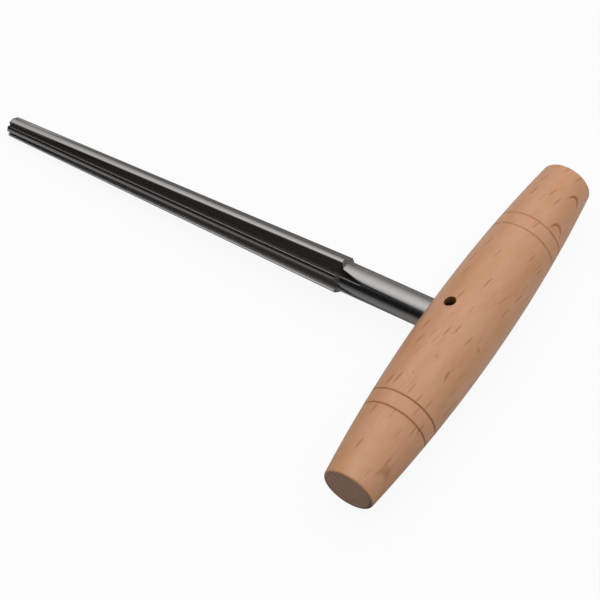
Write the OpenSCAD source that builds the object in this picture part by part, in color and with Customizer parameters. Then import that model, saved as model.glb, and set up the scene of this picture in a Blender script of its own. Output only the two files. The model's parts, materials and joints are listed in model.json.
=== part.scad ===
// Peg reamer: a tapered cutter with straight flutes, pinned across a turned wooden handle.
// The handle lies along Y, the cutter points along +X and the cross pin stands along Z.
// The axes of the handle and the cutter cross at the origin. All sizes are in millimetres.

/* [Handle] */
// Length of the handle from end to end
handle_length = 111; // [95:1:140]
// Diameter at the middle of the barrel
handle_d = 21.2; // [19:0.1:28]
// Diameter at each end of the barrel
handle_end_d = 14.2; // [10:0.1:17]
// Radius of the rounded edge at each end
handle_edge_r = 0.8; // [0.3:0.1:2]

/* [Scored rings] */
// Distance from an end of the handle to the nearest ring
ring_inset = 21.3; // [12:0.1:26]
// Spacing of the two rings in a pair
ring_spacing = 4.4; // [2:0.1:8]
// Width of a ring at the surface
ring_width = 0.6; // [0.3:0.1:1.2]
// Depth of a ring
ring_depth = 0.4; // [0.2:0.1:0.8]

/* [Cutter] */
// Distance from the handle's axis to the shoulder at the large end of the teeth
shoulder_reach = 36.8; // [30:0.1:50]
// Length of the teeth from the shoulder to the tip
flute_length = 114.2; // [80:0.1:125]
// Diameter over the teeth at the shoulder
large_d = 10.7; // [9.8:0.1:12]
// Taper of the teeth: length over which the diameter falls by 1
taper_ratio = 25; // [22:1:40]
// Chamfer on the tip of the teeth
tip_chamfer = 0.3; // [0.1:0.1:0.6]
// Diameter of the lathe centre in the tip
centre_d = 1.6; // [1:0.1:2.2]

/* [Flutes] */
// Number of teeth
tooth_count = 6; // [5:1:7]
// Angle of the first cutting face about the cutter's axis
tooth_start = 20; // [0:1:60]
// Diameter of the solid core between the flutes at the shoulder
core_d = 7.2; // [6.6:0.1:7.8]
// Diameter of the solid core between the flutes at the tip
core_tip_d = 5.2; // [4.4:0.1:5.6]
// Width of the full-diameter land behind a cutting edge, at the shoulder
land_width = 0.5; // [0.3:0.1:1]
// Angle of the relief behind the land, from the tangent
relief_angle = 20; // [14:1:24]
// Diameter of the round mill that leaves the run-outs in the shank
mill_d = 90; // [60:1:125]

/* [Shank] */
// Diameter of the shank
shank_d = 8.5; // [7.5:0.1:9]
// Distance from the handle's axis to the floor of the socket behind it
socket_past_axis = 5; // [3:0.1:6]
// Diametral clearance of the shank in the socket
socket_clearance = 0.04; // [0.02:0.01:0.2]
// Chamfer on the inner end of the shank
shank_chamfer = 0.6; // [0.2:0.1:1.2]

/* [Cross pin] */
// Diameter of the pin
pin_d = 3.2; // [2:0.1:4]
// Distance of the pin from the handle's axis, towards the tip
pin_offset = 3.2; // [0:0.1:4.5]
// Depth of each end of the pin below the surface of the handle
pin_recess = 3.6; // [1:0.1:4.5]
// Diametral clearance of the pin in its holes
pin_clearance = 0.02; // [0.02:0.01:0.1]
// Chamfer on each end of the pin
pin_chamfer = 0.3; // [0.1:0.1:0.6]

/* [Hidden] */

$fn = 96;
// Extra length that carries a cut clear of a surface
cut_past = 1;

// Barrel: an arc through the middle diameter and both end diameters
handle_half = handle_length / 2;
handle_r = handle_d / 2;
barrel_drop = (handle_d - handle_end_d) / 2;
barrel_arc_r = (handle_half * handle_half + barrel_drop * barrel_drop) / (2 * barrel_drop);
barrel_arc_x = handle_r - barrel_arc_r;
barrel_facets = 720;
function barrel_r(y) = barrel_arc_x + sqrt(barrel_arc_r * barrel_arc_r - y * y);

// Rounded end: a circle tangent to the end face and to the barrel's arc
edge_y = handle_half - handle_edge_r;
edge_x = barrel_arc_x + sqrt(pow(barrel_arc_r - handle_edge_r, 2) - edge_y * edge_y);
edge_slope = asin(edge_y / (barrel_arc_r - handle_edge_r));
barrel_end_y = edge_y + handle_edge_r * sin(edge_slope);

// Cutter: its length, taper and tip
large_r = large_d / 2;
shank_r = shank_d / 2;
tip_x = shoulder_reach + flute_length;
half_taper = atan(1 / (2 * taper_ratio));
tip_r = large_r - (flute_length - tip_chamfer) / (2 * taper_ratio);
shoulder_step = large_r - shank_r;
centre_angle = 60;
centre_depth = centre_d / 2 / tan(centre_angle / 2);

// Flute: its floor falls from the shoulder to the tip and rises out of the shank round the mill
tooth_pitch = 360 / tooth_count;
flute_reach = large_r + cut_past;
floor_r = core_d / 2;
floor_slope = (core_d - core_tip_d) / 2 / flute_length;
floor_end_r = floor_r - floor_slope * (flute_length + cut_past);
mill_r = mill_d / 2;
runout_turn = acos(1 - (flute_reach - floor_r) / mill_r);
runout_steps = 24;
land_angle = asin(land_width / large_r);
relief_width = large_r / 2;

// Cross pin: cut to end below the curved surface at its own offset
pin_half = sqrt(handle_r * handle_r - pin_offset * pin_offset) - pin_recess;
pin_hole_d = pin_d + pin_clearance;

// Turns a shape made about Z to lie along the cutter
module along_cutter() {
    rotate([0, 90, 0]) children();
}

// Turns a shape made about Z to lie along the handle
module along_handle() {
    rotate([-90, 0, 0]) children();
}

// Straight hole for the cross pin through everything on its axis
module pin_hole() {
    translate([pin_offset, 0, 0]) cylinder(d = pin_hole_d, h = handle_d + 2 * cut_past, center = true);
}

// V score at one place along the barrel, as deep as it is stated from the local surface
module ring_score(y) {
    surface_r = barrel_r(y);
    polygon([
        [surface_r - ring_depth, y],
        [surface_r + ring_depth, y - ring_width],
        [surface_r + ring_depth, y + ring_width]
    ]);
}

// Half outline of the barrel, with rounded ends and two pairs of scored rings
module barrel_outline() {
    difference() {
        union() {
            intersection() {
                translate([barrel_arc_x, 0]) circle(r = barrel_arc_r, $fn = barrel_facets);
                translate([0, -barrel_end_y]) square([handle_r, 2 * barrel_end_y]);
            }
            translate([0, -handle_half]) square([edge_x, handle_length]);
            for (end = [-1, 1]) translate([edge_x, end * edge_y]) circle(r = handle_edge_r);
        }
        for (end = [-1, 1], ring = [0, 1])
            ring_score(end * (handle_half - ring_inset - ring * ring_spacing));
    }
}

// One-piece turned wooden handle, bored for the shank and drilled across for the pin
module handle() {
    color([0.80, 0.60, 0.46])
    difference() {
        along_handle() rotate_extrude() barrel_outline();
        along_cutter() translate([0, 0, -socket_past_axis])
            cylinder(d = shank_d + socket_clearance, h = socket_past_axis + handle_r + cut_past);
        pin_hole();
    }
}

// Outline of the turned blank: shank, shoulder, taper and chamfered tip
module blank_outline() {
    polygon([
        [0, -socket_past_axis],
        [shank_r - shank_chamfer, -socket_past_axis],
        [shank_r, shank_chamfer - socket_past_axis],
        [shank_r, shoulder_reach - shoulder_step],
        [large_r, shoulder_reach],
        [tip_r, tip_x - tip_chamfer],
        [tip_r - tip_chamfer, tip_x],
        [0, tip_x]
    ]);
}

// Side view of a flute as [height, length]: the mill's run-out, then the floor to past the tip
module flute_outline() {
    runout = [for (step = [runout_steps : -1 : 0])
        let (turn = runout_turn * step / runout_steps)
        [floor_r + mill_r * (1 - cos(turn)), -mill_r * sin(turn)]];
    polygon(concat(runout, [
        [floor_end_r, flute_length + cut_past],
        [flute_reach, flute_length + cut_past]
    ]));
}

// One flute: cut square to the radial cutting face of its tooth
module flute() {
    translate([0, flute_reach, shoulder_reach]) rotate([90, 0, 0]) linear_extrude(flute_reach) flute_outline();
}

// Flat ground behind the land of one tooth, along the slope of the taper
module relief() {
    lead = land_width / 2;
    across = cos(relief_angle);
    fall = sin(relief_angle);
    rotate([0, 0, -land_angle]) translate([large_r, 0, shoulder_reach]) rotate([0, -half_taper, 0])
        translate([0, 0, -shoulder_step - cut_past])
        linear_extrude(shoulder_step + flute_length + 3 * cut_past)
            polygon([
                lead * [fall, across],
                -relief_width * [fall, across],
                [cut_past, -relief_width * across],
                [cut_past, lead * across]
            ]);
}

// Lathe centre in the face of the tip
module tip_centre() {
    translate([0, 0, tip_x - centre_depth]) cylinder(r1 = 0, r2 = centre_d / 2, h = centre_depth);
}

// Steel cutter: shank and fluted taper in one piece
module cutter() {
    color([0.52, 0.52, 0.53])
    difference() {
        along_cutter() difference() {
            rotate_extrude() blank_outline();
            for (tooth = [0 : tooth_count - 1]) rotate([0, 0, tooth_start + tooth * tooth_pitch]) {
                flute();
                relief();
            }
            tip_centre();
        }
        pin_hole();
    }
}

// Plain steel pin that locks the shank in the handle
module cross_pin() {
    color([0.62, 0.61, 0.60])
    translate([pin_offset, 0, 0]) rotate_extrude() polygon([
        [0, -pin_half],
        [pin_d / 2 - pin_chamfer, -pin_half],
        [pin_d / 2, pin_chamfer - pin_half],
        [pin_d / 2, pin_half - pin_chamfer],
        [pin_d / 2 - pin_chamfer, pin_half],
        [0, pin_half]
    ]);
}

handle();
cutter();
cross_pin();
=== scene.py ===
"""Looks of the peg reamer: a beech handle, a ground steel cutter, a steel cross pin and a pale studio.

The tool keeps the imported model's own frame: the handle lies along Y, the cutter points along +X and the
cross pin stands along Z. Sizes here are in millimetres and angles in degrees, where a line doesn't say
otherwise, and patterns are worked out on the object's coordinates in millimetres.
"""
import json
import math

import bpy
import numpy as np
from mathutils import Matrix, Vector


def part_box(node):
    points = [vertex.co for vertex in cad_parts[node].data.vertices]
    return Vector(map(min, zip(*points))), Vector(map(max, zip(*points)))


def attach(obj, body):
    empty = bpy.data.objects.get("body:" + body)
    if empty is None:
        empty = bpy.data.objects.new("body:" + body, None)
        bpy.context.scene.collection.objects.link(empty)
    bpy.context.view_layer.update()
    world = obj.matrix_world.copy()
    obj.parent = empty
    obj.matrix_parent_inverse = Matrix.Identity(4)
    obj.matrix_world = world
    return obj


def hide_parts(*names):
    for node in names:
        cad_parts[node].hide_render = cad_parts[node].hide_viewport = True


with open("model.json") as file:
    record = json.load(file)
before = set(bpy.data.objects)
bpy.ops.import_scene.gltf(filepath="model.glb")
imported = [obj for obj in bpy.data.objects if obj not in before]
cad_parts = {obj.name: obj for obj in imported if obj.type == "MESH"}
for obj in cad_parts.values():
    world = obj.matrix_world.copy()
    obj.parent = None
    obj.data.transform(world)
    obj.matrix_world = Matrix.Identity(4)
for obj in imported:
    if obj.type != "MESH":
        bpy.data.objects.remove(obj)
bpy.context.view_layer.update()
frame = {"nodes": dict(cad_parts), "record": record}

# Metres in a millimetre
MM = 0.001

# Sizes read from the frame
handle_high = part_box("handle")[1]
cutter_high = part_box("cutter")[1]
mounts = {mount["name"]: mount for mount in frame["record"]["mounts"]}
HANDLE_HALF = handle_high.y / MM
HANDLE_R = handle_high.z / MM
TIP = cutter_high.x / MM
SHOULDER = mounts["cutter_taper"]["pos_m"][0] / MM

# Sizes of the handle and its hole that the frame doesn't state
HANDLE_END_R = 7.1
RING_PLACES = (29.8, 34.2)
PIN_X = 3.2
PIN_HOLE_R = 1.61


# Node helpers

def feed(tree, socket, value):
    """Links a socket to an input, or sets the input to a plain value."""
    if isinstance(value, bpy.types.NodeSocket):
        tree.links.new(value, socket)
    else:
        socket.default_value = value


def put(tree, kind, inputs, **settings):
    """Adds a node, sets its options, and feeds its inputs by name or number."""
    node = tree.nodes.new(kind)
    for name, value in settings.items():
        setattr(node, name, value)
    for name, value in inputs.items():
        feed(tree, node.inputs[name], value)
    return node


def calc(tree, operation, *values):
    """One step of arithmetic on numbers."""
    return put(tree, "ShaderNodeMath", dict(enumerate(values)), operation=operation).outputs[0]


def times(tree, first, second):
    """The product of two numbers."""
    return calc(tree, "MULTIPLY", first, second)


def hypotenuse(tree, first, second):
    """The longest side over two sides that stand square."""
    return calc(tree, "SQRT", calc(tree, "MULTIPLY_ADD", first, first, times(tree, second, second)))


def between(tree, share, low, high):
    """The number that lies at a share of the way from low to high."""
    return calc(tree, "MULTIPLY_ADD", share, high - low, low)


def ease(tree, value, start, stop, low=0.0, high=1.0):
    """A smooth step of a number from low at start to high at stop."""
    inputs = {"Value": value, "From Min": start, "From Max": stop, "To Min": low, "To Max": high}
    return put(tree, "ShaderNodeMapRange", inputs, interpolation_type="SMOOTHSTEP").outputs["Result"]


def tint(tree, share, first, second, blend="MIX"):
    """Blends two colours by a share from 0 to 1."""
    inputs = {0: share, 6: first, 7: second}
    return put(tree, "ShaderNodeMix", inputs, data_type="RGBA", blend_type=blend).outputs[2]


def shaded(tree, colour, shade):
    """The product of two colours."""
    return tint(tree, 1.0, colour, shade, "MULTIPLY")


def joined(tree, x, y, z):
    """A vector from three numbers."""
    return put(tree, "ShaderNodeCombineXYZ", {"X": x, "Y": y, "Z": z}).outputs[0]


def object_mm(tree):
    """The point on the object, in millimetres, with its three parts."""
    coordinates = tree.nodes.new("ShaderNodeTexCoord").outputs["Object"]
    inputs = {0: coordinates, "Scale": 1 / MM}
    point = put(tree, "ShaderNodeVectorMath", inputs, operation="SCALE").outputs[0]
    parts = put(tree, "ShaderNodeSeparateXYZ", {"Vector": point}).outputs
    return point, parts["X"], parts["Y"], parts["Z"]


def streaks_group():
    """Soft streaks for wood and steel: noise on the point, drawn out by its own fineness along each axis."""
    group = bpy.data.node_groups.new("streaks", "ShaderNodeTree")
    group.interface.new_socket("Point", in_out="INPUT", socket_type="NodeSocketVector")
    group.interface.new_socket("Fineness", in_out="INPUT", socket_type="NodeSocketVector")
    group.interface.new_socket("Streaks", in_out="OUTPUT", socket_type="NodeSocketFloat")
    given = group.nodes.new("NodeGroupInput").outputs
    inputs = {0: given["Point"], 1: given["Fineness"]}
    drawn_out = put(group, "ShaderNodeVectorMath", inputs, operation="MULTIPLY").outputs[0]
    inputs = {"Vector": drawn_out, "Scale": 1.0, "Detail": 3.0, "Roughness": 0.6}
    noise = put(group, "ShaderNodeTexNoise", inputs).outputs["Fac"]
    put(group, "NodeGroupOutput", {"Streaks": noise})
    return group


STREAKS = streaks_group()


def streaks(tree, point, fineness):
    """The shared streaks, with the fineness along each axis that one material needs."""
    inputs = {"Point": point, "Fineness": fineness}
    return put(tree, "ShaderNodeGroup", inputs, node_tree=STREAKS).outputs["Streaks"]


def blank_tree(holder):
    """The node tree of a material or a world, emptied."""
    holder.use_nodes = True
    holder.node_tree.nodes.clear()
    return holder.node_tree


def new_material(name):
    """A material with nothing but its output and its Principled shader."""
    material = bpy.data.materials.new(name)
    tree = blank_tree(material)
    shader = tree.nodes.new("ShaderNodeBsdfPrincipled")
    put(tree, "ShaderNodeOutputMaterial", {"Surface": shader.outputs["BSDF"]})
    return material, tree, shader


def finish(tree, shader, colour, roughness, height, strength, depth):
    """Feeds a colour, a roughness, and a bump of a strength and a depth to the shader."""
    bump = put(tree, "ShaderNodeBump", {"Height": height, "Strength": strength, "Distance": depth * MM})
    feed(tree, shader.inputs["Base Color"], colour)
    feed(tree, shader.inputs["Roughness"], roughness)
    feed(tree, shader.inputs["Normal"], bump.outputs["Normal"])


# Beech

# Colours of the wood along the grain
PALE_WOOD = (0.57, 0.295, 0.172, 1)
TAN_WOOD = (0.54, 0.272, 0.135, 1)
BLOTCHED_WOOD = (0.47, 0.225, 0.115, 1)
FIBRE = (0.42, 0.20, 0.11, 1)
FINE_FLECK = (0.35, 0.155, 0.08, 1)
COARSE_FLECK = (0.35, 0.137, 0.06, 1)
STAIN = (0.30, 0.13, 0.055, 1)
LATE_WOOD = (0.25, 0.085, 0.027, 1)
# Painted light over the far pair of scored grooves, and painted shade in the near pair
SCORE_PAINTED_LIGHT = (0.69, 0.40, 0.24, 1)
SCORE_PAINTED_SHADE = (0.22, 0.078, 0.024, 1)

# Colours of the end grain, painted shade on its rim, and painted shade in the hole from deep inside to its
# mouth
END_SHADE = (0.72, 0.75, 0.82, 1)
YEAR_RING = (0.165, 0.096, 0.071, 1)
PORE = (0.195, 0.11, 0.079, 1)
PAINTED_RIM_SHADE = (0.035, 0.018, 0.012, 1)
HOLE_DEEP_SHADE = (0.05, 0.014, 0.002, 1)
HOLE_MOUTH_SHADE = (0.42, 0.15, 0.03, 1)

# Where the handle was cut from the log: direction away from the pith, as a turn from straight up towards
# the tip, distance of the pith from the handle's axis, and how the grain leans across the handle
PITH_TURN = -28.0
PITH_REACH = 75.0
GRAIN_LEAN = 0.139
GRAIN_BEND = -0.00117

# Fineness of streaks along the rings, along the handle and away from the pith
FIBRES = (3.0, 0.12, 3.0)
CLOUDS = (0.22, 0.06, 0.22)
BLOTCHES = (0.68, 0.19, 0.68)
PORES = (1.7, 0.0, 1.7)

# Noise at which each kind of streak starts and is full, with the strength of its colour at both
CLOUD_FADE = (0.36, 0.64, 0.0, 1.0)
BLOTCH_FADE = (0.4, 0.75, 0.0, 0.30)
FIBRE_FADE = (0.35, 0.75, 0.0, 0.10)
PORE_FADE = (0.45, 0.75, 0.0, 0.5)

# Ray flecks: width and length of the cell that each one has, and its size as a share of the cell. The core is
# the share of a fleck that is full, and the sink is how deep it lies beside the fibres.
COARSE_FLECKS = {"width": 1.25, "length": 11.0, "size": 0.22}
FINE_FLECKS = {"width": 0.55, "length": 7.0, "size": 0.18}
COARSE_STRENGTH = 0.78
FINE_STRENGTH = 0.22
FLECK_CORE = 0.4
FLECK_SINK = 0.6

# Strength of a fleck by its cell's own random number, and by how squarely the rays cross the surface
FLECK_PICK = (0.3, 1.0, 0.04, 1.0)
FLECK_CROSSING = (0.2, 0.6, 0.2, 1.0)

# Small stains in the wood: turn from straight up towards the tip, place along the handle, half width,
# half length along the grain, strength
STAINS = (
    (-59.0, 7.1, 0.9, 0.9, 0.50),
    (-13.6, 16.1, 1.0, 1.0, 0.28),
    (-42.3, 18.9, 0.6, 2.5, 0.60),
    (0.6, 23.1, 0.5, 0.8, 0.30))
STAIN_CORE = 0.3
STAIN_LEAN = 0.136

# Tips of growth rings that surface on the barrel: turn as above, place along the handle, strength, half
# width. The legs give the ways round from a crown at which an arch has faded and is full.
ARCHES = (
    (-56.0, -48.7, 0.95, 0.75),
    (-56.0, -37.7, 0.75, 0.75),
    (-61.0, 48.0, 0.45, 2.3))
ARCH_BOW = 0.26
ARCH_CORE = 0.1
ARCH_LEGS = (3.9, 1.3)

# End grain: depths at which it starts and is full, the wave of the year rings and its strength, and how far
# in the rim's painted shade starts and is full, with the heights between which it darkens towards the
# underside
END_DEPTHS = (0.5, 0.05)
YEAR_WAVE = 2.6
YEAR_FADE = (0.1, 1.0, 0.0, 0.25)
RIM_SHADE_INSETS = (1.2, 0.7)
RIM_SHADE_HEIGHTS = (3.0, -3.0, 0.1, 0.8)

# Scored rings, tinted with painted light and painted shade: distances from a ring at which its tint starts
# and is full, turns from straight up towards the tip, in radians, between which it changes, with the strength
# at both, and how far from the middle of the handle one pair's tint has given way to the other's
SCORE_WIDTHS = (0.36, 0.16)
PAINTED_LIGHT_TURNS = (-1.1, 0.3, 0.45, 0.95)
PAINTED_SHADE_TURNS = (0.5, -1.3, 0.0, 0.28)
SCORE_CHANGE = 12.0

# Hole for the pin: width of the edge of its painted shade, and heights of its darkest painted shade and of
# its mouth
HOLE_EDGE = 0.15
HOLE_HEIGHTS = (7.2, 9.9)

# Roughness of the wood where its fibres are faintest and where they are strongest
WOOD_ROUGH = (0.36, 0.52)


def along_line(tree, x, z, turn):
    """How far a point lies from the handle's axis in the direction of a turn from straight up."""
    angle = math.radians(turn)
    return calc(tree, "MULTIPLY_ADD", x, math.sin(angle), times(tree, z, math.cos(angle)))


def way_round(tree, side, turn):
    """Distance round the middle of the barrel from a turn."""
    return times(tree, calc(tree, "SUBTRACT", side, math.radians(turn)), HANDLE_R)


def ray_flecks(tree, arc, y, width, length, size):
    """Thin lenses along the grain, one to each stretched cell, unlike in strength."""
    cells = joined(tree, times(tree, arc, 1 / width), times(tree, y, 1 / length), 0.0)
    inputs = {"Vector": cells, "Scale": 1.0}
    node = put(tree, "ShaderNodeTexVoronoi", inputs, voronoi_dimensions="2D")
    pick = put(tree, "ShaderNodeSeparateColor", {"Color": node.outputs["Color"]}).outputs[0]
    lens = ease(tree, node.outputs["Distance"], size, size * FLECK_CORE)
    return times(tree, lens, ease(tree, pick, *FLECK_PICK))


def with_stains(tree, colour, side, y):
    """Small stains: ellipses drawn out along the leaning grain, darkest in the middle."""
    for turn, place, half_width, half_length, strength in STAINS:
        off_place = calc(tree, "SUBTRACT", y, place)
        around = calc(tree, "MULTIPLY_ADD", off_place, STAIN_LEAN, way_round(tree, side, turn))
        off = hypotenuse(tree, times(tree, around, 1 / half_width), times(tree, off_place, 1 / half_length))
        colour = tint(tree, ease(tree, off, 1.0, STAIN_CORE, high=strength), colour, STAIN)
    return colour


def with_arches(tree, colour, side, y):
    """Ring arches: place + bow * (way round from the crown) squared, fading down both legs."""
    for turn, place, strength, width in ARCHES:
        around = way_round(tree, side, turn)
        crown = calc(tree, "MULTIPLY_ADD", times(tree, around, around), ARCH_BOW, place)
        off = calc(tree, "ABSOLUTE", calc(tree, "SUBTRACT", y, crown))
        legs = ease(tree, calc(tree, "ABSOLUTE", around), *ARCH_LEGS)
        arch = times(tree, ease(tree, off, width, ARCH_CORE, high=strength), legs)
        colour = tint(tree, arch, colour, LATE_WOOD)
    return colour


def with_end_grain(tree, colour, end_grain, grain_at, from_pith, radius, z):
    """End grain: year rings round the pith, pores, and painted shade on the rim, darker below."""
    waves = calc(tree, "SINE", times(tree, from_pith, YEAR_WAVE))
    pores = streaks(tree, grain_at, PORES)
    end_wood = shaded(tree, colour, END_SHADE)
    end_wood = tint(tree, ease(tree, waves, *YEAR_FADE), end_wood, YEAR_RING)
    end_wood = tint(tree, ease(tree, pores, *PORE_FADE), end_wood, PORE)
    colour = tint(tree, end_grain, colour, end_wood)
    # Painted shade on the rim of the end, strongest on its underside
    rim = ease(tree, radius, HANDLE_END_R - RIM_SHADE_INSETS[0], HANDLE_END_R - RIM_SHADE_INSETS[1])
    rim = times(tree, rim, ease(tree, z, *RIM_SHADE_HEIGHTS))
    return tint(tree, times(tree, rim, end_grain), colour, PAINTED_RIM_SHADE)


def with_scores(tree, colour, side, y, from_middle):
    """Scored rings: painted light over the far pair's grooves, strongest towards the tip, and painted shade
    in the near pair's grooves.

    The painted light lifts the shade that the grooves cast on themselves. The painted shade is strongest away
    from the tip.
    """
    # Painted light in the far pair, strongest towards the tip, and painted shade in the near pair, strongest
    # away from it
    pale = times(tree, ease(tree, side, *PAINTED_LIGHT_TURNS), ease(tree, y, SCORE_CHANGE, -SCORE_CHANGE))
    dark = times(tree, ease(tree, side, *PAINTED_SHADE_TURNS), ease(tree, y, -SCORE_CHANGE, SCORE_CHANGE))
    for place in RING_PLACES:
        off_ring = calc(tree, "ABSOLUTE", calc(tree, "SUBTRACT", from_middle, place))
        scored = ease(tree, off_ring, *SCORE_WIDTHS)
        colour = tint(tree, times(tree, scored, pale), colour, SCORE_PAINTED_LIGHT)
        colour = tint(tree, times(tree, scored, dark), colour, SCORE_PAINTED_SHADE)
    return colour


def with_pin_hole(tree, colour, x, y, z):
    """The drilled hole, with painted shade on its wall, darkest deep inside."""
    off_pin = hypotenuse(tree, y, calc(tree, "SUBTRACT", x, PIN_X))
    drilled = ease(tree, off_pin, PIN_HOLE_R + HOLE_EDGE, PIN_HOLE_R)
    # Painted shade on the hole's wall, from darkest deep inside to lighter at the mouth
    wall = tint(tree, ease(tree, calc(tree, "ABSOLUTE", z), *HOLE_HEIGHTS), HOLE_DEEP_SHADE, HOLE_MOUTH_SHADE)
    return tint(tree, drilled, colour, wall)


def beech():
    """Turned beech: ray flecks along the leaning grain, ring arches near both ends, and darker end grain."""
    material, tree, shader = new_material("beech_oiled")
    x, y, z = object_mm(tree)[1:]
    side = calc(tree, "ARCTAN2", x, z)
    radius = hypotenuse(tree, x, z)
    from_middle = calc(tree, "ABSOLUTE", y)
    end_grain = ease(tree, from_middle, HANDLE_HALF - END_DEPTHS[0], HANDLE_HALF - END_DEPTHS[1])

    # The grain leans across the handle: shift = lean * y + bend * y * y, along the rings
    lean = times(tree, y, calc(tree, "MULTIPLY_ADD", y, GRAIN_BEND, GRAIN_LEAN))
    along_rings = calc(tree, "SUBTRACT", along_line(tree, x, z, PITH_TURN + 90.0), lean)
    from_axis = along_line(tree, x, z, PITH_TURN)
    from_pith = calc(tree, "ADD", from_axis, PITH_REACH)
    grain_at = joined(tree, along_rings, y, from_pith)

    # The rays run out from the pith and end in flecks where they cross the surface
    arc = times(tree, calc(tree, "ARCTAN2", along_rings, from_pith), PITH_REACH)
    squarely = calc(tree, "DIVIDE", calc(tree, "ABSOLUTE", from_axis), radius)
    crossing = times(tree, ease(tree, squarely, *FLECK_CROSSING), calc(tree, "SUBTRACT", 1.0, end_grain))
    coarse_flecks = times(tree, ray_flecks(tree, arc, y, **COARSE_FLECKS), crossing)
    fine_flecks = times(tree, ray_flecks(tree, arc, y, **FINE_FLECKS), crossing)

    # Layers over the clouded wood, each with its share and colour
    clouds = streaks(tree, grain_at, CLOUDS)
    blotches = streaks(tree, grain_at, BLOTCHES)
    fibres = streaks(tree, grain_at, FIBRES)
    layers = (
        (ease(tree, blotches, *BLOTCH_FADE), BLOTCHED_WOOD),
        (ease(tree, fibres, *FIBRE_FADE), FIBRE),
        (times(tree, fine_flecks, FINE_STRENGTH), FINE_FLECK),
        (times(tree, coarse_flecks, COARSE_STRENGTH), COARSE_FLECK))
    colour = tint(tree, ease(tree, clouds, *CLOUD_FADE), PALE_WOOD, TAN_WOOD)
    for share, paint in layers:
        colour = tint(tree, share, colour, paint)

    colour = with_stains(tree, colour, side, y)
    colour = with_arches(tree, colour, side, y)
    colour = with_end_grain(tree, colour, end_grain, grain_at, from_pith, radius, z)
    colour = with_scores(tree, colour, side, y, from_middle)
    colour = with_pin_hole(tree, colour, x, y, z)
    roughness = between(tree, fibres, *WOOD_ROUGH)
    height = calc(tree, "MULTIPLY_ADD", coarse_flecks, -FLECK_SINK, fibres)
    finish(tree, shader, colour, roughness, height, strength=0.25, depth=0.05)
    shader.inputs["Specular IOR Level"].default_value = 0.4
    return material


# Cutter

# Shank, taper, and the lathe centre of 60 degrees in the tip
SHANK_R = 4.25
SHANK_END = -5.0
SHANK_CHAMFER = 0.6
LARGE_R = 5.35
TAPER = 1 / 50
TIP_CHAMFER = 0.3
CENTRE_R = 0.8
CENTRE_DEPTH = CENTRE_R * math.sqrt(3)

# Teeth: pitch in radians, turn of the first, width of the land, share of the radius by which the relief falls
# for each millimetre of way round, and rounding of the edges
TEETH = 6
PITCH = 2 * math.pi / TEETH
TOOTH_START = 20.0
LAND = 0.55
RELIEF = 0.0516
EDGE_ROUND = 0.13

# Flutes: height of the floor at the shoulder and at the tip on a straight fall, how far it sinks below that
# by the tip and how suddenly, and turn that the wall up to the heel takes
CORE_R = 3.6
CORE_TIP_R = 2.6
FLOOR_DROP = 0.55
DROP_POWER = 8
HEEL_WALL = 6.0

# Run-outs: radius of the mill, length behind the shoulder, tilt of the floor and how suddenly the tilt ends
MILL_R = 45.0
RUNOUT = math.sqrt(MILL_R ** 2 - (MILL_R - SHANK_R + CORE_R) ** 2)
RUNOUT_TILT = 20.0
TILT_POWER = 4

# Where a cut is shallower than this, its floor starts later, by up to the last start, and no floor is
# narrower than the least, so that columns of points stay apart
SHALLOW = 0.15
LAST_START = 4.0
LEAST_FLOOR = 6.0

# Marks of the mill, which also carry painted shade: how far below a floor the skin is no part of it any more,
# and depths of cut at which a cutting face still takes all its painted shade and takes none
BRIGHT_EDGE = 0.03
FACE_SHADE_DEPTHS = (0.1, 0.4)

# Stretches along the cutter, each with its start and its number of stations: plain shank, run-outs,
# shoulder, teeth and tip
STRETCHES = (
    (SHANK_END + SHANK_CHAMFER, 11),
    (26.0, 59),
    (SHOULDER - 1.4, 32),
    (SHOULDER + 0.2, 59),
    (TIP - 0.5, 11))

# Columns of points round one tooth, steps of the search for its heel, and points round a circle
FLOOR_COLUMNS = 17
RELIEF_COLUMNS = 13
LAND_COLUMNS = 4
EDGE_COLUMNS = 6
FACE_COLUMNS = 7
HEEL_STEPS = 400
ROUND_COLUMNS = 96

# Rings up the chamfer of the shank, and rings in over the face of the tip, as shares of the way
CHAMFER_RINGS = (0.0, 0.5)
TIP_RINGS = (0.35, 0.7, 1.0)

# Angle past which an edge of the cutter stays sharp
SHARP_EDGE = 60.0


def eased_least(first, second):
    """The smaller of two arrays, with their crossing rounded over the rounding of an edge."""
    near = np.maximum(EDGE_ROUND - np.abs(first - second), 0) / EDGE_ROUND
    return np.minimum(first, second) - near * near * EDGE_ROUND / 4


def eased_step(value, start, stop):
    """0 before start, 1 after stop, and a smooth rise between."""
    share = np.clip((value - start) / (stop - start), 0, 1)
    return share * share * (3 - 2 * share)


def shares(count):
    """A row of even steps up to 1, without the 0."""
    return np.linspace(0, 1, count + 1)[None, 1:]


def crowded(count):
    """A row of steps up to 1 that crowd towards both ends, without the 0."""
    return 0.5 - 0.5 * np.cos(np.pi * shares(count))


def round_turns():
    """Even turns round a circle, in radians."""
    return np.linspace(0, 2 * np.pi, ROUND_COLUMNS, endpoint=False)


def stations():
    """Places along the cutter at which its section is worked out, one to a row."""
    starts, counts = zip(*STRETCHES)
    stops = starts[1:] + (TIP,)
    rows = [np.linspace(*stretch, endpoint=False) for stretch in zip(starts, stops, counts)]
    return np.append(np.concatenate(rows), TIP)[:, None]


def down_teeth(x):
    """Share of the way from the shoulder to the tip."""
    return np.clip((x - SHOULDER) / (TIP - SHOULDER), 0, 1)


def cone_radius(x):
    """Radius over the teeth: it falls from the shoulder with the taper."""
    return LARGE_R - TAPER * (x - SHOULDER)


def blank_radius(x):
    """Radius of the turned blank: the shank, a shoulder at 45 degrees, the taper and the chamfered tip."""
    step = LARGE_R + x - SHOULDER
    tip = cone_radius(TIP) - TIP_CHAMFER + TIP - x
    body = -eased_least(-step, np.full_like(x, -SHANK_R))
    return eased_least(eased_least(body, cone_radius(x)), tip)


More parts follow.
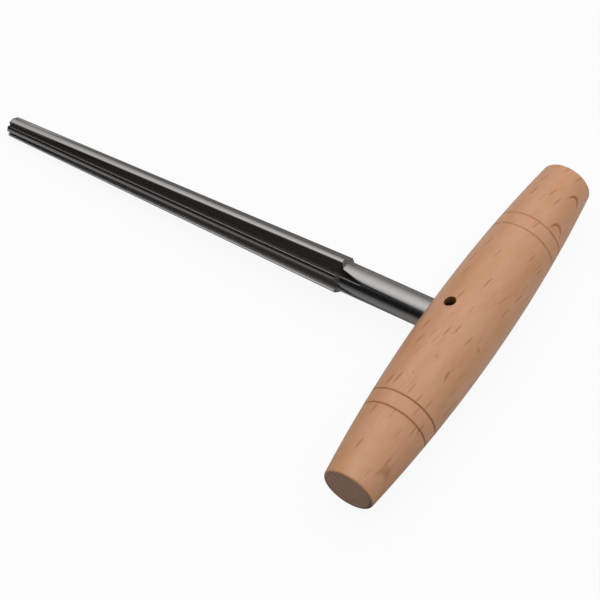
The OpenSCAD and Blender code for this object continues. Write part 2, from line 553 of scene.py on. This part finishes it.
def floor_height(x):
    """Height of a flute's floor over the axis: a straight fall to the tip, and the mill's round run-out."""
    past = np.clip(SHOULDER - x, 0, MILL_R)
    return CORE_R + (CORE_TIP_R - CORE_R) * down_teeth(x) + MILL_R - np.sqrt(MILL_R ** 2 - past ** 2)


def floor_tilt(x):
    """Tilt of a floor in radians: tilt * s * (1 - s to a power), with s the share of the run-out covered."""
    risen = np.clip((SHOULDER - x) / RUNOUT, 0, 1)
    return math.radians(RUNOUT_TILT) * risen * (1 - risen ** TILT_POWER)


def floor_radius(height, tilt, turn):
    """Radius of a floor tilted about the foot of the cutting face: height * cos(tilt) / cos(turn + tilt)."""
    return height * np.cos(tilt) / np.cos(turn + tilt)


def relief_radius(cone, turn):
    """Radius of the relief: cone * (1 - fall * way round from the land)."""
    return cone * (1 - RELIEF * cone * (PITCH - LAND / cone - turn))


def heel_turn(cone, blank, floor, tilt):
    """Turn of the heel: the first step at which the floor lies outside the relief or the blank."""
    steps = (PITCH - LAND / cone) * np.linspace(0, 1, HEEL_STEPS)[None, :]
    room = np.minimum(blank, relief_radius(cone, steps)) - floor_radius(floor, tilt, steps)
    return np.take_along_axis(steps, np.argmax(room < 0, axis=1)[:, None], axis=1)


def tooth(x):
    """One pitch of the cutter at each station: turn in radians, radius, and a mark of the mill and of painted
    shade.

    The turn runs from the foot of a cutting face over the flute floor, which sinks towards the tip, up a
    short wall to the heel, over the relief, the land and the rounded cutting edge, and down the radial
    cutting face of the next tooth. The radius is the least of the blank, the relief and the floor. Columns
    follow the heel.
    """
    blank = blank_radius(x)
    cone = cone_radius(x)
    floor = floor_height(x)
    tilt = floor_tilt(x)
    land_start = PITCH - LAND / cone
    cut = np.clip(blank - floor, 0, None)
    sunk = FLOOR_DROP * down_teeth(x) ** DROP_POWER

    # Where nothing is left of a floor its columns still stand apart
    start = math.radians(LAST_START) * (1 - eased_step(cut, 0, SHALLOW))
    heel = np.maximum(heel_turn(cone, blank, floor, tilt), start + math.radians(LEAST_FLOOR))

    over_floor = start + (heel - start) * crowded(FLOOR_COLUMNS)
    over_relief = heel + (land_start - heel) * crowded(RELIEF_COLUMNS)
    land_end = PITCH - EDGE_ROUND / LARGE_R
    over_land = land_start + (land_end - land_start) * shares(LAND_COLUMNS + 1)[:, :-1]
    top_turn = np.concatenate([over_floor, over_relief, over_land], axis=1)
    below_heel = 1 - eased_step(top_turn, heel - math.radians(HEEL_WALL), heel)
    floor_r = floor_radius(floor - sunk * below_heel, tilt, top_turn)
    top_r = eased_least(eased_least(blank, relief_radius(cone, top_turn)), floor_r)

    # Rounded cutting edge, then the cutting face down to the floor
    bend = np.linspace(0, np.pi / 2, EDGE_COLUMNS)[None, :]
    edge_turn = PITCH - EDGE_ROUND * (1 - np.sin(bend)) / LARGE_R + 0 * x
    edge_r = blank - np.minimum(EDGE_ROUND, cut / 2) * (1 - np.cos(bend))
    down = shares(FACE_COLUMNS)
    face_turn = PITCH + start * down
    foot = np.minimum(floor_radius(floor - sunk, tilt, start), blank)
    face_r = edge_r[:, -1:] + (foot - edge_r[:, -1:]) * down

    turn = np.concatenate([top_turn, edge_turn, face_turn], axis=1)
    radius = np.concatenate([top_r, edge_r, face_r], axis=1)
    # The mark covers the floors, which take painted shade and a little more roughness, and puts painted shade
    # on cutting faces where the cut is shallow
    top_milled = eased_step(top_r - floor_r, -BRIGHT_EDGE, 0)
    face_painted_shade = 1 - eased_step(cut, *FACE_SHADE_DEPTHS) + 0 * face_r
    milled_and_shaded = np.concatenate([top_milled, 0 * edge_r, face_painted_shade], axis=1)
    return turn, radius, np.where(cut > 0, milled_and_shaded, 0)


def tube_faces(rows, columns):
    """Numbers of the points on a tube of rings, of their neighbours round it, and the faces between rings."""
    index = np.arange(rows * columns).reshape(rows, columns)
    after = np.roll(index, -1, axis=1)
    quads = np.stack([index[:-1], index[1:], after[1:], after[:-1]], axis=-1).reshape(-1, 4)
    return index, after, quads


def closed_skin(points, first_pole, last_pole):
    """Points and faces of a tube of rings, closed by a fan to a pole at each end."""
    rows, columns = points.shape[:2]
    index, after, quads = tube_faces(rows, columns)
    first = np.full(columns, rows * columns)
    first_fan = np.stack([index[0], after[0], first], axis=-1)
    last_fan = np.stack([after[-1], index[-1], first + 1], axis=-1)
    points = np.concatenate([points.reshape(-1, 3), [first_pole, last_pole]])
    return points, quads.tolist() + first_fan.tolist() + last_fan.tolist()


def cutter_skin():
    """Skin of the cutter: one tooth repeated round the axis, the chamfered inner end and the face of the tip.

    Point (station, turn): x = station, y = radius * sin(turn), z = -radius * cos(turn). Every point has a
    number for the mill's marks and for the painted shade they carry.
    """
    x = stations()
    turn, radius, milled_and_shaded = tooth(x)
    starts = math.radians(TOOTH_START) + PITCH * np.arange(TEETH)
    turn = (turn[:, None, :] + starts[None, :, None]).reshape(len(x), -1)
    radius = np.tile(radius, (1, TEETH))
    milled_and_shaded = np.tile(milled_and_shaded, (1, TEETH))

    # Rings up the chamfer, and rings from the rim of the tip in to its lathe centre
    chamfer = np.array(CHAMFER_RINGS)[:, None] + 0 * radius[:1]
    tip_r = radius[-1:] + (CENTRE_R - radius[-1:]) * np.array(TIP_RINGS)[:, None]
    chamfer_r = SHANK_R - SHANK_CHAMFER * (1 - chamfer)
    chamfer_x = SHANK_END + SHANK_CHAMFER * chamfer
    along = np.concatenate([chamfer_x, x + 0 * radius, TIP + 0 * tip_r])
    radius = np.concatenate([chamfer_r, radius, tip_r])
    turn = np.concatenate([turn[:1] + 0 * chamfer, turn, turn[-1:] + 0 * tip_r])
    milled_and_shaded = np.concatenate([0 * chamfer, milled_and_shaded, 0 * tip_r])

    points = np.stack([along, radius * np.sin(turn), -radius * np.cos(turn)], axis=-1)
    points, faces = closed_skin(points, (SHANK_END, 0, 0), (TIP - CENTRE_DEPTH, 0, 0))
    return points, faces, np.append(milled_and_shaded, [0, 0])


def new_piece(name, points, faces):
    """A smooth object at the origin from an array of points in millimetres and a list of faces."""
    mesh = bpy.data.meshes.new(name)
    mesh.from_pydata((points * MM).tolist(), [], faces)
    mesh.validate()
    mesh.polygons.foreach_set("use_smooth", np.ones(len(mesh.polygons), bool))
    piece = bpy.data.objects.new(name, mesh)
    bpy.context.scene.collection.objects.link(piece)
    return piece


def drill(piece):
    """Takes the pin's hole along Z out of a piece, and keeps the result as plain mesh.

    Plug (height, turn): x = pin place + radius * cos(turn), y = radius * sin(turn), z = height.
    """
    reach = 2 * SHANK_R
    height, turn = np.meshgrid([reach, -reach], round_turns(), indexing="ij")
    points = np.stack([PIN_X + PIN_HOLE_R * np.cos(turn), PIN_HOLE_R * np.sin(turn), height], axis=-1)
    plug = new_piece("plug", *closed_skin(points, (PIN_X, 0, reach), (PIN_X, 0, -reach)))
    cut = piece.modifiers.new("pin_hole", "BOOLEAN")
    cut.operation = "DIFFERENCE"
    cut.solver = "EXACT"
    cut.object = plug
    whole = piece.data
    done = piece.evaluated_get(bpy.context.evaluated_depsgraph_get())
    piece.data = bpy.data.meshes.new_from_object(done)
    piece.modifiers.clear()
    bpy.data.meshes.remove(whole)
    bpy.data.objects.remove(plug)
    piece.data.set_sharp_from_angle(angle=math.radians(SHARP_EDGE))


def fluted_cutter(material):
    """The cutter as one skin, with a mark on each point for the mill and for the painted shade it carries."""
    points, faces, milled_and_shaded = cutter_skin()
    piece = new_piece("fluted_cutter", points, faces)
    mark = piece.data.attributes.new("milled_and_shaded", "FLOAT", "POINT")
    mark.data.foreach_set("value", milled_and_shaded.astype(np.float32))
    piece.data.materials.append(material)
    drill(piece)
    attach(piece, "root")
    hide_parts("cutter")


# Steel

# Colours of the cutter, its tint where it is seen at a slant, the painted shade of its flute floors and
# cutting faces and of its shoulder, and colours of the pin
DARK_STEEL = (0.228, 0.219, 0.216, 1)
BRIGHT_STEEL = (0.275, 0.263, 0.258, 1)
STEEL_EDGE = (0.45, 0.45, 0.45, 1)
MILLED_PAINTED_SHADE = (0.74, 0.71, 0.69, 1)
SHOULDER_PAINTED_SHADE = (0.6, 0.62, 0.66, 1)
DARK_WIRE = (0.38, 0.36, 0.34, 1)
BRIGHT_WIRE = (0.50, 0.48, 0.46, 1)

# Fineness of streaks along X, Y and Z
GROUND_MARKS = (0.03, 6.0, 6.0)
TURNED_MARKS = (12.0, 0.3, 0.3)
WIRE_STAINS = (1.5, 1.5, 1.5)
DRAWN_MARKS = (9.0, 9.0, 0.2)

# Places on the cutter at which the teeth's marks take over, and at which the rougher shoulder with painted
# shade begins and ends
TEETH_MARKED = (SHOULDER - 0.8, SHOULDER)
SHOULDER_BEGINS = (SHOULDER - 1.2, SHOULDER - 1.0)
SHOULDER_ENDS = (SHOULDER, SHOULDER - 0.1)

# Roughness of the cutter from its darkest to its brightest marks, what the shoulder and the milled floors add
# to it, and roughness of the pin
STEEL_ROUGH = (0.20, 0.30)
SHOULDER_ROUGHER = 0.3
MILLED_ROUGHER = 0.02
WIRE_ROUGH = (0.3, 0.5)


def ground_steel():
    """Ground steel: lengthwise marks on the teeth, turned marks on the shank, painted shade on flutes and
    shoulder.
    """
    material, tree, shader = new_material("steel_ground")
    point, x = object_mm(tree)[:2]
    ground = streaks(tree, point, GROUND_MARKS)
    turned = streaks(tree, point, TURNED_MARKS)
    inputs = {0: ease(tree, x, *TEETH_MARKED), 2: turned, 3: ground}
    marks = put(tree, "ShaderNodeMix", inputs, data_type="FLOAT").outputs[0]
    milled_and_shaded = put(tree, "ShaderNodeAttribute", {}, attribute_name="milled_and_shaded").outputs["Fac"]
    shoulder = times(tree, ease(tree, x, *SHOULDER_BEGINS), ease(tree, x, *SHOULDER_ENDS))
    shoulder = times(tree, shoulder, calc(tree, "SUBTRACT", 1.0, milled_and_shaded))

    colour = tint(tree, marks, DARK_STEEL, BRIGHT_STEEL)
    # Painted shade on the flutes, which the mark also makes a little rougher
    colour = tint(tree, milled_and_shaded, colour, shaded(tree, colour, MILLED_PAINTED_SHADE))
    # Painted shade on the shoulder, which is also rougher
    colour = tint(tree, shoulder, colour, shaded(tree, colour, SHOULDER_PAINTED_SHADE))
    roughness = between(tree, marks, *STEEL_ROUGH)
    roughness = calc(tree, "MULTIPLY_ADD", shoulder, SHOULDER_ROUGHER, roughness)
    roughness = calc(tree, "MULTIPLY_ADD", milled_and_shaded, MILLED_ROUGHER, roughness)
    finish(tree, shader, colour, roughness, marks, strength=0.08, depth=0.02)
    shader.inputs["Metallic"].default_value = 1.0
    shader.inputs["Specular Tint"].default_value = STEEL_EDGE
    return material


def pin_steel():
    """Plain drawn wire: duller than the cutter, with faint stains."""
    material, tree, shader = new_material("steel_pin")
    point = object_mm(tree)[0]
    drawn = streaks(tree, point, DRAWN_MARKS)
    colour = tint(tree, streaks(tree, point, WIRE_STAINS), DARK_WIRE, BRIGHT_WIRE)
    finish(tree, shader, colour, between(tree, drawn, *WIRE_ROUGH), drawn, strength=0.1, depth=0.02)
    shader.inputs["Metallic"].default_value = 1.0
    return material


# Studio

WHITE = (1, 1, 1, 1)
BLACK = (0, 0, 0, 1)

# Floor: its radius and rings, its lit grey, the shares of its own white that the camera and reflections see,
# and where along Y its fade in reflections starts, and how much further on half of it is left
FLOOR_R = 3000.0
FLOOR_RINGS = 13
FLOOR_GREY = (0.62, 0.62, 0.62, 1)
FLOOR_WHITE = 0.92
FLOOR_MIRRORED = 0.4
FADE_START = 8.0
FADE_REACH = 40.0

# Light tent: where each fade starts and stops, with its brightness at both. Two go by the turn about X from
# straight up towards the near end of the handle, and two by how far a direction points along the cutter.
NEAR_FADE = (44.5, 6.0, 0.0, 1.0)
FAR_FADE = (-85.0, -4.0, 0.43, 2.08)
AHEAD_FADE = (0.46, 0.85, 1.0, 0.05)
BEHIND_FADE = (-1.0, -0.5, 0.08, 1.0)
TENT_LEAST = 0.018

# Camera: turned about Z, raised, rolled, and slid so that the tool falls where the photograph has it, with
# its focal length in widths of the picture
VIEW_TURN = math.radians(222.226)
VIEW_RISE = math.radians(52.772)
VIEW_ROLL = math.radians(-11.027)
VIEW_DISTANCE = 487.509
VIEW_SLIDE = (-41.988, 7.491)
LENS_TO_WIDTH = 3.1492


def floor_disc():
    """A disc under the tool, tilted to touch the barrel's belly and the circle over the teeth at the tip.

    Point (ring, turn): radius = floor radius * ring, and the height rises along X with the slope that joins
    both contacts.
    """
    slope = math.asin((HANDLE_R - cone_radius(TIP)) / TIP)
    rings, turns = np.meshgrid(np.linspace(0, 1, FLOOR_RINGS) ** 2, round_turns(), indexing="ij")
    along = FLOOR_R * rings * np.cos(turns)
    across = FLOOR_R * rings * np.sin(turns)
    x = HANDLE_R * math.sin(slope) + along * math.cos(slope)
    z = -HANDLE_R * math.cos(slope) + along * math.sin(slope)
    faces = tube_faces(FLOOR_RINGS, ROUND_COLUMNS)[2]
    return new_piece("floor", np.stack([x, across, z], axis=-1).reshape(-1, 3), faces.tolist())


def floor_paper():
    """White paper: part of its white is its own for what the camera and reflections see, and the rest is lit.

    In reflections it dims towards the near side, to reach / (reach + y past the start of the fade). From
    below it is clear.
    """
    material = bpy.data.materials.new("floor_paper")
    tree = blank_tree(material)
    path = tree.nodes.new("ShaderNodeLightPath").outputs
    seen = calc(tree, "MAXIMUM", path["Is Camera Ray"], path["Is Transmission Ray"])
    mirrored = path["Is Glossy Ray"]
    own_white = calc(tree, "MAXIMUM", times(tree, seen, FLOOR_WHITE), times(tree, mirrored, FLOOR_MIRRORED))
    past = calc(tree, "MAXIMUM", calc(tree, "SUBTRACT", object_mm(tree)[2], FADE_START), 0.0)
    dimmed = times(tree, mirrored, calc(tree, "DIVIDE", past, calc(tree, "ADD", past, FADE_REACH)))
    from_below = tree.nodes.new("ShaderNodeNewGeometry").outputs["Backfacing"]
    covers = (
        (own_white, put(tree, "ShaderNodeEmission", {"Color": WHITE, "Strength": 1.0})),
        (dimmed, put(tree, "ShaderNodeBsdfDiffuse", {"Color": BLACK})),
        (from_below, tree.nodes.new("ShaderNodeBsdfTransparent")))
    paper = put(tree, "ShaderNodeBsdfDiffuse", {"Color": FLOOR_GREY})
    for share, cover in covers:
        paper = put(tree, "ShaderNodeMixShader", {0: share, 1: paper.outputs[0], 2: cover.outputs[0]})
    put(tree, "ShaderNodeOutputMaterial", {"Surface": paper.outputs[0]})
    return material


def studio_world():
    """A light tent: brightest overhead, fading to the far side, and dark on the near side of the handle.

    It also falls off straight ahead of the tip and straight behind the handle.
    """
    world = bpy.data.worlds.new("studio")
    bpy.context.scene.world = world
    tree = blank_tree(world)
    direction = tree.nodes.new("ShaderNodeTexCoord").outputs["Generated"]
    parts = put(tree, "ShaderNodeSeparateXYZ", {"Vector": direction}).outputs
    turn = calc(tree, "DEGREES", calc(tree, "ARCTAN2", parts["Y"], parts["Z"]))
    round_cutter = times(tree, ease(tree, turn, *NEAR_FADE), ease(tree, turn, *FAR_FADE))
    along_cutter = times(tree, ease(tree, parts["X"], *AHEAD_FADE), ease(tree, parts["X"], *BEHIND_FADE))
    level = calc(tree, "MULTIPLY_ADD", round_cutter, along_cutter, TENT_LEAST)
    sky = put(tree, "ShaderNodeBackground", {"Color": WHITE, "Strength": level})
    put(tree, "ShaderNodeOutputWorld", {"Surface": sky.outputs[0]})


def camera():
    """The photograph's viewpoint as a plain perspective camera, placed by its own three axes."""
    level = np.array([math.cos(VIEW_TURN), math.sin(VIEW_TURN), 0])
    flat = np.array([math.sin(VIEW_TURN), -math.cos(VIEW_TURN), 0])
    back = math.cos(VIEW_RISE) * flat + math.sin(VIEW_RISE) * np.array([0, 0, 1])
    above = np.cross(back, level)
    right = math.cos(VIEW_ROLL) * level + math.sin(VIEW_ROLL) * above
    up = math.cos(VIEW_ROLL) * above - math.sin(VIEW_ROLL) * level
    place = VIEW_SLIDE[0] * right + VIEW_SLIDE[1] * up + VIEW_DISTANCE * back
    axes = np.eye(4)
    axes[:3] = np.stack([right, up, back, place * MM], axis=1)
    lens = bpy.data.cameras.new("camera")
    lens.sensor_fit = "HORIZONTAL"
    lens.sensor_width = 36.0
    lens.lens = LENS_TO_WIDTH * lens.sensor_width
    lens.clip_start = 0.01
    lens.clip_end = 20.0
    holder = bpy.data.objects.new("camera", lens)
    bpy.context.scene.collection.objects.link(holder)
    holder.matrix_world = Matrix(axes.tolist())
    bpy.context.scene.camera = holder


def dress(node, material):
    """Gives a CAD node its finish."""
    slots = frame["nodes"][node].data.materials
    slots.clear()
    slots.append(material)


dress("handle", beech())
fluted_cutter(ground_steel())
dress("cross_pin", pin_steel())

floor = floor_disc()
floor.data.materials.append(floor_paper())

studio_world()
camera()
bpy.context.scene.view_settings.view_transform = "Standard"
